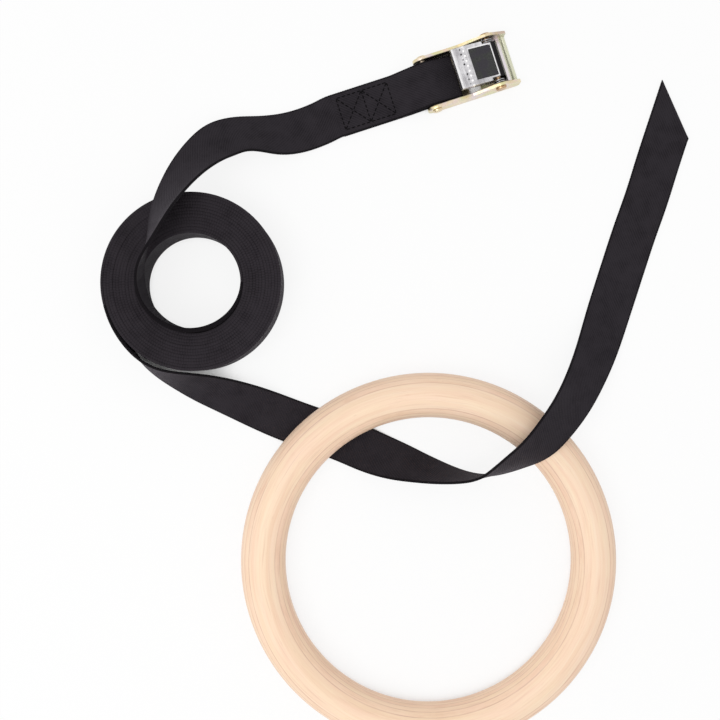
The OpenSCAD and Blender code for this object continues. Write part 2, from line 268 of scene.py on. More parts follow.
def webbingFinish(look, name):
    finish, tree, shader = newFinish(name)
    across, along, _ = splitOf(tree, tree.nodes.new("ShaderNodeTexCoord").outputs["UV"])
    off = calc(tree, "ABSOLUTE", across)
    twill = waveOf(tree, sumOf(tree, (along, 1.0), (across, look["twillSlant"])), look["twillPitch"])
    yarn = waveOf(tree, across, look["yarnPitch"])
    pick = waveOf(tree, along, look["beadPitch"])
    weave = tree.nodes.new("ShaderNodeMix")
    tree.links.new(spanOf(tree, off, *look["pickFrom"], 0.0, 1.0), weave.inputs[0])
    tree.links.new(sumOf(tree, (twill, look["twillRelief"]), (yarn, look["yarnRelief"])), weave.inputs[2])
    tree.links.new(calc(tree, "MULTIPLY", pick, look["pickRelief"]), weave.inputs[3])
    woven = weave.outputs[0]
    place = objectPlace(tree)
    fuzz = noiseOf(tree, place, look["fuzzScale"], 2.0, 0.6)
    mottle = noiseOf(tree, place, look["mottleScale"], 4.0, 0.62)
    # The weave's relief also sets its tone: painted shade in its hollows, painted highlight on its tops
    tone = sumOf(tree, (spanOf(tree, woven, -1.0, 1.0, *look["weaveTone"]), 1.0),
                 (mottle, look["mottleTone"]), (fuzz, look["fuzzTone"]))
    colour = rampOf(tree, tone, look["toneStops"], (look["darkTone"], look["lightTone"]))
    outline = spanOf(tree, off, *look["rimFrom"], 0.0, look["rimShade"])
    colour = blendOf(tree, outline, colour, look["rimTone"])
    rough = spanOf(tree, fuzz, *noiseRange, *look["roughness"])
    height = sumOf(tree, (woven, 1.0), (fuzz, look["fuzzRelief"]))
    dress(tree, shader, colour, rough, bumpOf(tree, height, *look["bump"]), look["gloss"])
    shader.inputs["Sheen Weight"].default_value = look["sheen"]
    shader.inputs["Sheen Roughness"].default_value = look["sheenRoughness"]
    shader.inputs["Sheen Tint"].default_value = look["sheenTint"]
    return finish


def webbingProfile(look):    # shares of half the width, with the height there
    body, edge, soft = look["thickness"] / 2, look["selvedge"] / 2, look["edgeSoft"]
    quarter = [(1.0, 0.0), (1 - 0.32 * soft, look["edgeFlat"] * edge), (1 - soft, 0.97 * edge), (0.945, edge),
               (0.905, 0.5 * (edge + body)), (0.86, body), (0.43, body), (0.0, body)]
    upper = quarter + [(-a, b) for a, b in quarter[-2::-1]]
    lower = [(a, -b) for a, b in upper[-2:0:-1]]
    return np.array(upper + lower)


def evenly(line, step):
    along = np.concatenate([[0], np.cumsum(np.linalg.norm(np.diff(line[:, :3], axis=0), axis=1))])
    at = np.linspace(0, along[-1], int(round(along[-1] / step)) + 1)
    return np.stack([np.interp(at, along, line[:, k]) for k in range(line.shape[1])], axis=1), at


def smoothRoute(stops, firstWay, lastWay, step):
    stops = np.array(stops, float)
    gaps = np.linalg.norm(np.diff(stops[:, :3], axis=0), axis=1)[:, None]
    slopes = np.diff(stops, axis=0) / gaps
    between = (slopes[:-1] * gaps[1:] + slopes[1:] * gaps[:-1]) / (gaps[1:] + gaps[:-1])
    tangents = np.vstack([slopes[:1], between, slopes[-1:]])
    tangents[0, :3], tangents[-1, :3] = firstWay, lastWay
    share = np.linspace(0, 1, strap["stopSteps"], endpoint=False)[:, None]
    here, leaving = 2 * share**3 - 3 * share**2 + 1, share**3 - 2 * share**2 + share
    there, coming = -2 * share**3 + 3 * share**2, share**3 - share**2
    runs = [here * stops[i] + leaving * gaps[i] * tangents[i] + there * stops[i + 1]
            + coming * gaps[i] * tangents[i + 1] for i in range(len(gaps))]
    return evenly(np.vstack(runs + [stops[-1:]]), step)


def easeLine(line, step, reach, hold):
    count = int(3 * reach / step)
    weights = np.exp(-0.5 * (np.arange(-count, count + 1) * step / reach) ** 2)
    weights /= weights.sum()
    padded = np.vstack([2 * line[0] - line[count:0:-1], line, 2 * line[-1] - line[-2:-count - 2:-1]])
    eased = np.stack([np.convolve(padded[:, k], weights, "valid") for k in range(line.shape[1])], axis=1)
    places = np.arange(len(line)) * step
    share = np.clip(np.minimum(places, places[::-1]) / hold, 0, 1)[:, None]  # both ends stay where they are
    return line + (eased - line) * share * share * (3 - 2 * share)


def leaningFrames(line, firstWay, lastWay):
    ways = np.gradient(line[:, :3], axis=0)
    ways[0], ways[-1] = firstWay, lastWay
    ways = unitRows(ways)
    level = unitRows(np.cross([0, 0, 1], ways))
    lean = np.radians(line[:, 3])[:, None]
    return ways, np.cos(lean) * level + np.sin(lean) * np.cross(ways, level)


def sweepWebbing(name, centres, ways, widthways, at, look, finish, slant=0.0, melt=0.0, fullness=None):
    profile = webbingProfile(look)
    half, sections = look["width"] / 2, len(at)
    normals = np.cross(ways, widthways)
    bead = look["edgeBead"] * np.abs(np.sin(math.pi * at / look["beadPitch"]))
    rim = np.clip((np.abs(profile[:, 0]) - look["beadFrom"]) / (1 - look["beadFrom"]), 0, 1)
    side = profile[None, :, 0] * half + np.sign(profile[None, :, 0]) * rim[None, :] * bead[:, None]
    rise = np.repeat(profile[None, :, 1], sections, axis=0)
    if fullness is not None:
        rise = rise * fullness[:, None]
    if melt:
        rise = rise * (1 + look["meltSwell"] * np.exp(-(((at - at[-1]) / melt) ** 2)))[:, None]
    shear = np.zeros(sections)
    if slant:
        shear = slant / 2 * np.clip(1 - (at[-1] - at) / abs(slant), 0, 1)
    travel = shear[:, None] * profile[None, :, 0]
    points = (centres[:, None] + side[..., None] * widthways[:, None] + rise[..., None] * normals[:, None]
              + travel[..., None] * ways[:, None])
    points[..., 2] += np.maximum(0, -points[..., 2].min(axis=1))[:, None]  # nothing dips under the floor
    piece = newPiece(name, points.reshape(-1, 3).tolist(), tubeFaces(sections, len(profile)), finish,
                     "strap")
    flat = [np.repeat(profile[None, :, 0] * half, sections, axis=0), at[:, None] + travel]
    mapped = np.stack(flat, axis=-1).reshape(-1, 2)
    layer = piece.data.uv_layers.new(name="clothMetres")
    corner = np.zeros(len(piece.data.loops), np.int32)
    piece.data.loops.foreach_get("vertex_index", corner)
    layer.data.foreach_set("uv", mapped[corner].astype(np.float32).ravel())
    return piece


webbing = webbingFinish(strap, "blackWebbing")

# Coil: the webbing wound on edge
coil = {
    "centre": (-0.1474, 0.1741),
    "firstRadius": 0.03107,
    "pitch": 0.00195,
    "firstTurn": 0.0,        # degrees
    "turned": 4515.0,
    "fineSteps": 12000,
    "turnRise": 0.00035,     # some turns stand a little proud
    "riseWaves": ((1.0, 0.43, 0.6), (0.6, 1.27, 2.1)),  # size, rate and start of what lifts them
    "riseRun": 0.1,          # metres at each end in which the lift comes in
    "snug": 1.37,            # the webbing swells to fill the pitch where the turns lie on each other
    "snugRun": 0.04,         # metres at each end in which it swells
    "cloth": {"selvedge": 0.00142, "edgeSoft": 0.008, "edgeFlat": 0.84, "edgeBead": 0.00009,
              "rimShade": 0.0, "gloss": 0.02, "sheen": 0.09,
              "darkTone": (0.0085, 0.0071, 0.0086), "lightTone": (0.0335, 0.0288, 0.034)},
}


def coilSpot(setup, degrees):
    angle = np.radians(degrees)
    radius = setup["firstRadius"] + setup["pitch"] * (degrees - setup["firstTurn"]) / 360
    grow = setup["pitch"] / (2 * math.pi)
    level = 0 * angle
    spot = [setup["centre"][0] + radius * np.cos(angle), setup["centre"][1] + radius * np.sin(angle),
            level + strap["width"] / 2]
    way = np.stack([grow * np.cos(angle) - radius * np.sin(angle),
                    grow * np.sin(angle) + radius * np.cos(angle), level], axis=-1)
    return np.stack(spot, axis=-1), way / np.linalg.norm(way, axis=-1, keepdims=True)


coilLast = coil["firstTurn"] + coil["turned"]
_, innerWay = coilSpot(coil, np.array(coil["firstTurn"]))
outerSpot, outerWay = coilSpot(coil, np.array(coilLast))


def windCoil(setup):
    turns = np.linspace(setup["firstTurn"], coilLast, setup["fineSteps"])
    fine, _ = coilSpot(setup, turns)
    line, at = evenly(np.column_stack([fine, turns]), strap["coilStep"])
    centres, ways = coilSpot(setup, line[:, 3])
    fade = np.clip(at / setup["riseRun"], 0, 1) * np.clip((at[-1] - at) / setup["riseRun"], 0, 1)
    lift = sum(size * np.sin(np.radians(line[:, 3]) * rate + start) for size, rate, start in setup["riseWaves"])
    centres[:, 2] += setup["turnRise"] * fade * np.clip(lift, 0, 2)
    widthways = np.repeat([[0.0, 0.0, 1.0]], len(at), axis=0)
    swell = np.clip(np.minimum(at, at[-1] - at) / setup["snugRun"], 0, 1)
    cloth = {**strap, **setup["cloth"]}
    finish = webbingFinish(cloth, "coiledWebbing")
    piece = sweepWebbing("strapCoil", centres, ways, widthways, at, cloth, finish,
                         fullness=1 + (setup["snug"] - 1) * swell)
    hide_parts("strap_coil")
    print("coil wound, metres:", round(float(at[-1]), 3))


windCoil(coil)

# Buckle's place: along, across and up from its rear end
buckle = {"rear": (-0.005, 0.3, 0.0), "turn": 18.0}
alongBuckle = np.array([math.cos(math.radians(buckle["turn"])), math.sin(math.radians(buckle["turn"])), 0.0])
acrossBuckle = np.array([-alongBuckle[1], alongBuckle[0], 0.0])
upBuckle = np.array([0.0, 0.0, 1.0])
buckleWays = (alongBuckle, acrossBuckle, upBuckle)


def onBuckle(*runs):         # along, across and up
    steps = (np.multiply.outer(np.asarray(run, float), way) for run, way in zip(runs, buckleWays))
    return sum(steps, np.array(buckle["rear"]))


# Sewn fold: the doubled end round the anchor pin, as along and up in the buckle's own plane
fold = {
    "stops": [(-0.056, 0.0021), (-0.016, 0.0021), (0.003, 0.0093), (0.010, 0.0093)],
    "tip": (0.0231, 0.0040),
    "tipRadius": 0.0013,
    "tipSteps": 25,
    "back": [(0.002, 0.0027), (-0.010, 0.00075), (-0.055, 0.00075)],
    "fineStep": 0.0001,
    "ease": 0.0008,          # how far each bend is rounded
    "endHold": 0.01,         # metres in which the rounding comes in at each end
    "selvedge": 0.00142,     # the edge lies flatter where the webbing is doubled
}

# Lead: up a ramp inside the coil, over the turns and down to the fold, as x, y, z and lean in degrees
lead = {
    "climbSteps": 11,
    "climbTurn": 15.0,       # degrees a step
    "climbHeight": 0.025,
    "climbCurve": 1.5,
    "climbIn": 0.0007,
    "endHold": 0.03,
    "snug": 1.78,            # the webbing is fuller where it presses on the coil's inside
    "snugUntil": 0.1,        # metres along the lead
    "snugRuns": (0.04, 0.03),      # metres in which it swells and thins again
    "shadedStretch": (0.1, 0.135),       # painted shade: less sheen and gloss up to the first place, all of them from the second
    "shadedSheenShares": (0.2, 0.36, 0.52, 0.68, 0.84),  # share of the sheen and gloss that is kept, band by band
}
leadStops = [
    (-0.1769, 0.1748, 0.0414, 91), (-0.1764, 0.1818, 0.0438, 93.5), (-0.1747, 0.1881, 0.0454, 97.5),
    (-0.1718, 0.194, 0.0464, 102), (-0.1692, 0.1996, 0.0469, 107), (-0.167, 0.2056, 0.0468, 113),
    (-0.1647, 0.2125, 0.0459, 120), (-0.1614, 0.221, 0.0439, 127), (-0.156, 0.2318, 0.0404, 135.5),
    (-0.1489, 0.2435, 0.0353, 145.5), (-0.1403, 0.2544, 0.0284, 156), (-0.1304, 0.2636, 0.0208, 166.5),
    (-0.1185, 0.269, 0.0136, 153), (-0.1065, 0.2698, 0.0086, 152), (-0.0945, 0.27, 0.0048, 168),
    (-0.082, 0.2729, 0.0016, 178), (-0.07, 0.2775, 0.0009, 180),
]


# Copies of the webbing with less sheen and gloss, band by band: painted shade on the lead's first stretch
# inside the coil
def shadedLeadCloths(setup):
    cloths = []
    for number, left in enumerate(setup["shadedSheenShares"]):
        look = {**strap, "gloss": left * strap["gloss"], "sheen": left * strap["sheen"]}
        cloths.append(webbingFinish(look, f"shadedWebbing{number}"))
    return cloths + [webbing]


def layLead(setup):
    counts = np.arange(setup["climbSteps"] + 1)
    ramp, _ = coilSpot(coil, coil["firstTurn"] - setup["climbTurn"] * counts)
    share = counts / setup["climbSteps"]
    ramp[:, 2] += setup["climbHeight"] * share ** setup["climbCurve"]
    ramp[:, :2] += setup["climbIn"] * share[:, None] * unitRows(np.array(coil["centre"]) - ramp[:, :2])
    finish = tuple(onBuckle(fold["stops"][0][0], 0, fold["stops"][0][1])) + (180,)
    stops = [tuple(spot) + (90,) for spot in ramp] + leadStops + [finish]
    line, at = smoothRoute(stops, -innerWay, alongBuckle, strap["step"])
    line, at = evenly(easeLine(line, strap["step"], strap["ease"], setup["endHold"]), strap["step"])
    ways, widthways = leaningFrames(line, -innerWay, alongBuckle)
    swellRun, thinRun = setup["snugRuns"]
    swell = np.clip(np.minimum(at / swellRun, (setup["snugUntil"] - at) / thinRun), 0, 1)
    cloths = shadedLeadCloths(setup)
    piece = sweepWebbing("strapLead", line[:, :3], ways, widthways, at, strap, cloths[0],
                         fullness=1 + (setup["snug"] - 1) * swell)
    for cloth in cloths[1:]:
        piece.data.materials.append(cloth)
    # the lead's first stretch takes the shaded copies: painted shade
    band = np.searchsorted(np.linspace(*setup["shadedStretch"], len(cloths) - 1), at[1:])
    sides = (len(piece.data.polygons) - 2) // len(band)
    piece.data.polygons.foreach_set("material_index", [*np.repeat(band, sides), band[0], band[-1]])
    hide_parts("strap_lead")
    print("lead laid, metres:", round(float(at[-1]), 3))


layLead(lead)

# Tail: from the coil's outer end under the ring, up inside it, over it and out to the cut tip
tail = {
    "endHold": 0.025,
    "tipSlant": -0.031,      # negative, as the webbing lies turned over there
    "tipMelt": 0.0011,
    "tipRun": 0.006,         # how far the slanting cut counts past the middle of the end
}
tailStops = [
    (-0.1964, 0.1462, 0.0141, 89), (-0.1885, 0.133, 0.0141, 86), (-0.181, 0.1245, 0.0141, 82),
    (-0.1723, 0.1183, 0.0139, 77), (-0.1625, 0.114, 0.0135, 69), (-0.1535, 0.1112, 0.0126, 59),
    (-0.145, 0.1085, 0.0112, 49), (-0.1325, 0.1045, 0.0092, 37), (-0.12, 0.1, 0.007, 26),
    (-0.1075, 0.095, 0.0043, 14), (-0.0945, 0.0895, 0.0016, 3), (-0.08, 0.084, 0.0008, 0),
    (-0.064, 0.0785, 0.0007, 0), (-0.049, 0.0725, 0.0008, 0), (-0.0335, 0.0663, 0.0048, -17),
    (-0.0175, 0.0611, 0.0089, -36.5), (-0.005, 0.0577, 0.0118, -53), (0.0075, 0.0548, 0.0133, -66),
    (0.017, 0.053, 0.014, -76), (0.026, 0.0519, 0.0147, -84.5), (0.032, 0.0518, 0.0157, -91),
    (0.038, 0.053, 0.0175, -99), (0.0439, 0.0559, 0.021, -109.5), (0.0498, 0.0598, 0.0264, -119),
    (0.0556, 0.0644, 0.0326, -127.5), (0.0619, 0.0696, 0.0378, -134.5), (0.0672, 0.075, 0.04, -140.5),
    (0.0725, 0.081, 0.0394, -145), (0.079, 0.0882, 0.0358, -149), (0.09, 0.102, 0.027, -156),
    (0.1, 0.118, 0.0166, -162.5), (0.106, 0.1295, 0.0102, -168), (0.111, 0.141, 0.005, -173),
    (0.1155, 0.1535, 0.002, -177.5), (0.1255, 0.184, 0.0008, -180), (0.133, 0.207, 0.0007, -180),
    (0.141, 0.2295, 0.0007, -180), (0.148, 0.252, 0.0007, -180), (0.1595, 0.287, 0.0007, -180),
]


def layTail(setup):
    ends = np.array(tailStops[-2:])[:, :3]
    tipWay = (ends[1] - ends[0]) / np.linalg.norm(ends[1] - ends[0])
    line, at = smoothRoute([tuple(outerSpot) + (90,), *tailStops], outerWay, tipWay, strap["step"])
    line, at = evenly(easeLine(line, strap["step"], strap["ease"], setup["endHold"]), strap["step"])
    ways, widthways = leaningFrames(line, outerWay, tipWay)
    piece = sweepWebbing("strapTail", line[:, :3], ways, widthways, at, strap, webbing,
                         setup["tipSlant"], setup["tipMelt"])
    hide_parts("strap_tail")
    print("tail laid, metres:", round(float(at[-1]), 3))


layTail(tail)


def layFold(setup):
    tip, radius = np.array(setup["tip"]), setup["tipRadius"]
    bend = [tuple(tip + radius * np.array([math.sin(turn), math.cos(turn)]))
            for turn in np.linspace(0, math.pi, setup["tipSteps"])]
    flat = np.array([*setup["stops"], *bend, *setup["back"]])
    flat, _ = evenly(np.column_stack([flat, np.zeros(len(flat))]), setup["fineStep"])
    eased = easeLine(flat, setup["fineStep"], setup["ease"], setup["endHold"])
    line, at = evenly(onBuckle(eased[:, 0], 0 * eased[:, 0], eased[:, 1]), strap["step"])
    ways = unitRows(np.gradient(line, axis=0))
    ways[0], ways[-1] = alongBuckle, -alongBuckle
    widthways = np.repeat([acrossBuckle], len(at), axis=0)
    cloth = {**strap, "selvedge": setup["selvedge"]}
    piece = sweepWebbing("strapFold", line, ways, widthways, at, cloth, webbing)
    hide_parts("strap_fold")
    print("fold laid, metres:", round(float(at[-1]), 3))


layFold(fold)

# Box stitching on top of the fold
stitching = {
    "boxes": 2,
    "from": -0.053,
    "boxLength": 0.017,
    "halfWidth": 0.0105,
    "height": 0.0028,
    "sink": 0.00028,         # how deep the ends of a stitch go in
    "arch": 0.00036,         # and how far its middle rises
    "flatness": 0.8,
    "stitch": 0.0027,
    "gap": 0.0005,
    "thread": 0.00034,       # radius
    "rings": 9,
    "sides": 8,
    "twistScale": 2600,
    "toneStops": (0.3, 0.75),
    "darkTone": (0.0035, 0.0032, 0.0036),
    "lightTone": (0.0085, 0.0078, 0.0087),
    "roughness": (0.5, 0.65),
    "gloss": 0.02,
    "bump": (0.5, 0.0001),
}


def threadFinish(look):
    finish, tree, shader = newFinish("blackThread")
    twist = noiseOf(tree, objectPlace(tree), look["twistScale"], 1.0)
    colour = rampOf(tree, twist, look["toneStops"], (look["darkTone"], look["lightTone"]))
    rough = spanOf(tree, twist, *noiseRange, *look["roughness"])
    dress(tree, shader, colour, rough, bumpOf(tree, twist, *look["bump"]), look["gloss"])
    return finish


def sewBoxes(look):
    half, rows = look["halfWidth"], []
    for box in range(look["boxes"]):
        near, far = look["from"] + box * look["boxLength"], look["from"] + (box + 1) * look["boxLength"]
        rows += [((near, -half), (far, -half)), ((near, half), (far, half)), ((near, -half), (far, half)),
                 ((near, half), (far, -half)), ((far, -half), (far, half))]
        if box == 0:
            rows.append(((near, -half), (near, half)))
    verts, faces, sides, rings = [], [], look["sides"], look["rings"]
    for start, end in np.array(rows):
        run = np.linalg.norm(end - start)
        count = max(1, round(run / (look["stitch"] + look["gap"])))
        pitch, way = run / count, (end - start) / run
        cross = np.array([-way[1], way[0]])
        for number in range(count):
            base = len(verts)
            for share in np.linspace(0, 1, rings):
                spot = start + way * (number * pitch + look["gap"] / 2 + share * (pitch - look["gap"]))
                fat = look["thread"] * math.sin(math.pi * (0.06 + 0.88 * share)) ** 0.35  # thin at both ends
                up = look["height"] - look["sink"] + look["arch"] * math.sin(math.pi * share) ** 0.6
                for side in range(sides):
                    turn = 2 * math.pi * side / sides
                    flat = spot + cross * fat * math.cos(turn)
                    high = up + look["flatness"] * fat * math.sin(turn)
                    verts.append(onBuckle(flat[0], flat[1], high).tolist())
            faces += [[base + corner for corner in face] for face in tubeFaces(rings, sides)]
    piece = newPiece("boxStitches", verts, faces, threadFinish(look), "strap")
    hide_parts("box_stitching")
    print("stitches sewn:", len(verts) // (sides * rings))


sewBoxes(stitching)

# Ring: flat birch plies, the grain round the ring and shorter in every other ply
ring = {
    "centre": (0.0, 0.0, 0.01485),
    "axis": (0.0051435, -0.0063517, 0.9999666),
    "radius": 0.104,         # to the middle of the tube
    "tube": 0.028,
    "plies": 11,
    "longGrain": (0.03, 1.0),      # stretch round the ring and across the tube
    "crossGrain": (0.14, 0.7),
    "castGrain": (0.1, 0.55),
    "streakGrain": (0.035, 1.0),
    "bendScale": 16,
    "bend": 0.005,           # how far the grain strays
    "fibreScale": 1000,
    "fibreTone": 0.45,
    "figureScale": 210,
    "figureTone": 0.6,
    "toneStops": (0.38, 0.53, 0.67),
    "longTones": [(0.925, 0.672, 0.495), (0.978, 0.754, 0.572), (0.995, 0.795, 0.622)],
    "crossTones": [(0.90, 0.64, 0.475), (0.96, 0.718, 0.545), (0.98, 0.757, 0.588)],
    "castScale": 330,
    "castFrom": (0.38, 0.62),
    "pinkCast": (1.0, 0.955, 0.94),
    "yellowCast": (1.0, 0.995, 0.95),
    "streakScale": 820,
    "streakFrom": (0.57, 0.72),
    "streakShare": 0.34,
    "streakTone": (0.70, 0.44, 0.32),
    "poreScale": 2000,
    "poreShort": 3,          # how much shorter the pores are than the fibres
    "poreFrom": (0.66, 0.75),
    "poreShare": 0.16,
    "poreTone": (0.62, 0.39, 0.26),
    "glueWidth": 0.00022,
    "glueSolid": 0.02,       # half of the line that is all glue, as a share of a ply
    "glueShare": (0.4, 0.85),      # patchy along the line
    "patchScale": 45,
    "patchFrom": (0.35, 0.65),
    "glueTone": (0.70, 0.45, 0.33),
    "roughness": (0.38, 0.52),
    "gloss": 0.3,
    "bump": (0.18, 0.0001),
}


def birchFinish(look, name, tones, grain):
    finish, tree, shader = newFinish(name)
    place = objectPlace(tree)
    x, y, _ = splitOf(tree, place)
    reach = reachOf(tree, x, y)
    height = calc(tree, "ADD", vectorCalc(tree, "DOT_PRODUCT", place, look["axis"]),
                  look["tube"] / 2 - look["centre"][2] * look["axis"][2])
    bent = calc(tree, "MULTIPLY", noiseOf(tree, place, look["bendScale"], 2.0), look["bend"])

    def grainPlace(along, across):
        around = [calc(tree, "MULTIPLY", calc(tree, "DIVIDE", way, reach), look["radius"] * along)
                  for way in (x, y)]
        return joinOf(tree, *around, calc(tree, "MULTIPLY", calc(tree, "ADD", reach, bent), across))

    fibrePlace = grainPlace(*grain)
    fibre = noiseOf(tree, fibrePlace, look["fibreScale"], 3.0, 0.55, height)
    figure = noiseOf(tree, fibrePlace, look["figureScale"], 3.0, 0.55, height)
    tone = sumOf(tree, (fibre, look["fibreTone"]), (figure, look["figureTone"]))
    colour = rampOf(tree, tone, look["toneStops"], tones)
    cloud = noiseOf(tree, grainPlace(*look["castGrain"]), look["castScale"], 3.0, 0.6, height)
    cast = blendOf(tree, spanOf(tree, cloud, *look["castFrom"], 0.0, 1.0), look["pinkCast"], look["yellowCast"])
    colour = blendOf(tree, 1.0, colour, cast, "MULTIPLY")
    streaks = noiseOf(tree, grainPlace(*look["streakGrain"]), look["streakScale"], 2.0, 0.6, height)
    streak = spanOf(tree, streaks, *look["streakFrom"], 0.0, look["streakShare"])
    colour = blendOf(tree, streak, colour, look["streakTone"])
    porePlace = grainPlace(look["poreShort"] * grain[0], grain[1])
    pores = noiseOf(tree, porePlace, look["poreScale"], 1.0, 0.5, height)
    pore = spanOf(tree, pores, *look["poreFrom"], 0.0, 1.0)
    colour = blendOf(tree, calc(tree, "MULTIPLY", pore, look["poreShare"]), colour, look["poreTone"])
    thickness, middle = look["tube"] / look["plies"], look["plies"] / 2
    ply = calc(tree, "DIVIDE", height, thickness)
    line = gapOf(tree, ply, calc(tree, "ROUND", ply))
    solid = look["glueSolid"]
    glue = spanOf(tree, line, solid, look["glueWidth"] / thickness + solid, 1.0, 0.0)
    between = spanOf(tree, gapOf(tree, ply, middle), middle - 0.6, middle - 0.4, 1.0, 0.0)
    glue = calc(tree, "MULTIPLY", glue, between)  # no glue on the two outer faces
    patchy = spanOf(tree, noiseOf(tree, place, look["patchScale"], 2.0), *look["patchFrom"], *look["glueShare"])
    colour = blendOf(tree, calc(tree, "MULTIPLY", glue, patchy), colour, look["glueTone"])
    rough = spanOf(tree, fibre, *noiseRange, *look["roughness"])
    surface = sumOf(tree, (fibre, 0.5), (pore, -0.5), (glue, -1.0))
    dress(tree, shader, colour, rough, bumpOf(tree, surface, *look["bump"]), look["gloss"])
    return finish


def finishRing(look):
    long = birchFinish(look, "birchLong", look["longTones"], look["longGrain"])
    cross = birchFinish(look, "birchCross", look["crossTones"], look["crossGrain"])
    for number in range(1, look["plies"] + 1):
        nodes[f"ring_ply_{number:02d}"].data.materials[0] = long if number % 2 else cross


finishRing(ring)
print("ring finished")

# Buckle metal
metal = {
    "gold": [(0.62, 0.49, 0.25), (0.76, 0.65, 0.40), (0.84, 0.76, 0.56)],
    "pinkTint": (0.78, 0.57, 0.51),
    "lilacTint": (0.70, 0.60, 0.68),
    "greenTint": (0.66, 0.68, 0.36),
    "brown": [(0.22, 0.12, 0.06), (0.48, 0.30, 0.16), (0.76, 0.58, 0.38)],
    "cast": [(0.34, 0.33, 0.345), (0.58, 0.57, 0.585), (0.84, 0.83, 0.845)],
    "wire": [(0.3, 0.3, 0.31), (0.5, 0.5, 0.52), (0.62, 0.62, 0.63)],
    "toneStops": (0.36, 0.5, 0.64),
    "cloudScale": 130,
    "speckScale": 1500,
    "streakScale": 2300,
    "streakRun": 0.05,       # the streaks run across the buckle
    "tintScale": 110,
    "tintFrom": (0.5, 0.66),
    "tintShare": 0.7,
    "roughSpread": (-0.07, 0.08),
    "bump": (0.16, 0.00008),
    "frameEdge": 0.00035,    # rounding of the edges
    "leverEdge": 0.00028,
    "pinEdge": 0.0003,
}


def buckleRuns(tree, place):
    return [vectorCalc(tree, "DOT_PRODUCT", place, tuple(way)) for way in buckleWays]


def buckleSpot(tree, place):
    return buckleRuns(tree, vectorCalc(tree, "SUBTRACT", place, buckle["rear"]))


def metalFinish(name, tones, roughness, brushed, tints=(), details=None):
    finish, tree, shader = newFinish(name)
    place = objectPlace(tree)
    cloud = noiseOf(tree, place, metal["cloudScale"], 3.0, 0.55)
    speck = noiseOf(tree, place, metal["speckScale"], 2.0, 0.6)
    along, across, up = buckleRuns(tree, place)
    drawn = joinOf(tree, along, calc(tree, "MULTIPLY", across, metal["streakRun"]), up)
    streak = noiseOf(tree, drawn, metal["streakScale"], 2.0, 0.55)
    grain = sumOf(tree, (streak, brushed), (speck, 1 - brushed))
    colour = rampOf(tree, sumOf(tree, (cloud, 0.5), (grain, 0.5)), metal["toneStops"], tones)
    for number, tint in enumerate(tints, 1):
        shifted = vectorCalc(tree, "ADD", place, (0.37 * number, 0.11, 0.53))  # each tint has its own patches
        patches = noiseOf(tree, shifted, metal["tintScale"], 2.0, 0.5)
        colour = blendOf(tree, spanOf(tree, patches, *metal["tintFrom"], 0.0, metal["tintShare"]), colour, tint)
    shader.inputs["Metallic"].default_value = 1.0
    if details:
        colour = details(tree, shader, place, colour)
    rough = spanOf(tree, grain, *noiseRange, *(roughness + spread for spread in metal["roughSpread"]))
    dress(tree, shader, colour, rough, bumpOf(tree, grain, *metal["bump"]))
    return finish


# Plating of the frame and the anchor pin, with painted shade on its inner walls and rear: each pair is where a
# tint or the painted shade comes in or fades, in metres on the buckle
plating = {
    "inside": (0.0151, 0.0155),    # off the middle, the inner side of the rails
    "shadeAndBrownScale": 220,
    "shadeAndBrownFrom": (0.3, 0.6),
    "shadeAndBrownShare": (0.55, 0.95),
    "shadeTone": (0.045, 0.036, 0.026),
    "rearTo": (0.0285, 0.0305),    # painted shade on the rear up to here
    "rearShare": 0.9,
    "wallUp": (0.0024, 0.0034),    # and painted shade on the walls
    "wallTo": (0.0535, 0.0575),
    "plateFrom": (0.0500, 0.0515),  # bare plate behind the cam
    "plateUp": (0.003, 0.0045),
    "plateShare": 0.8,
    "plateTone": (0.76, 0.71, 0.80),
    "lipFrom": (0.0575, 0.0585),
    "lipShare": 0.65,
    "lipTone": (0.80, 0.84, 0.52),
    "lipMetal": 0.25,        # the plating is dull on the lip
    "endFrom": (0.0500, 0.0530),   # the browned front end of the upper rail
    "endAcross": (0.0150, 0.0154),
    "endShare": 0.6,
    "endTone": (0.46, 0.33, 0.18),
}


def platingDetails(tree, shader, place, colour):
    look = plating
    along, across, up = buckleSpot(tree, place)
    shadeAndBrownNoise = noiseOf(tree, place, look["shadeAndBrownScale"], 2.0)
    shadeAndBrownPatches = spanOf(tree, shadeAndBrownNoise, *look["shadeAndBrownFrom"], *look["shadeAndBrownShare"])
    inside = spanOf(tree, calc(tree, "ABSOLUTE", across), *look["inside"], 1.0, 0.0)
    plate = bothOf(tree, inside, spanOf(tree, along, *look["plateFrom"], 0.0, look["plateShare"]),
                   spanOf(tree, up, *look["plateUp"], 1.0, 0.0))
    # wall and rear: painted shade on the rails' inner walls and on the plate at the rear, in patches
    wall = bothOf(tree, inside, spanOf(tree, up, *look["wallUp"], 0.0, 1.0), shadeAndBrownPatches,
                  spanOf(tree, along, *look["wallTo"], 1.0, 0.0))
    rear = bothOf(tree, inside, spanOf(tree, along, *look["rearTo"], look["rearShare"], 0.0), shadeAndBrownPatches)
    brown = bothOf(tree, spanOf(tree, along, *look["endFrom"], 0.0, 1.0),
                   spanOf(tree, across, *look["endAcross"], 0.0, look["endShare"]), shadeAndBrownPatches)
    lip = bothOf(tree, spanOf(tree, along, *look["lipFrom"], 0.0, look["lipShare"]), inside)
    feed(tree, shader.inputs["Metallic"], spanOf(tree, lip, 0.0, look["lipShare"], 1.0, look["lipMetal"]))
    colour = blendOf(tree, plate, colour, look["plateTone"])
    colour = blendOf(tree, lip, colour, look["lipTone"])
    colour = blendOf(tree, brown, colour, look["endTone"])
    # the painted shade of walls and rear goes on last
    return blendOf(tree, calc(tree, "MAXIMUM", wall, rear), colour, look["shadeTone"])
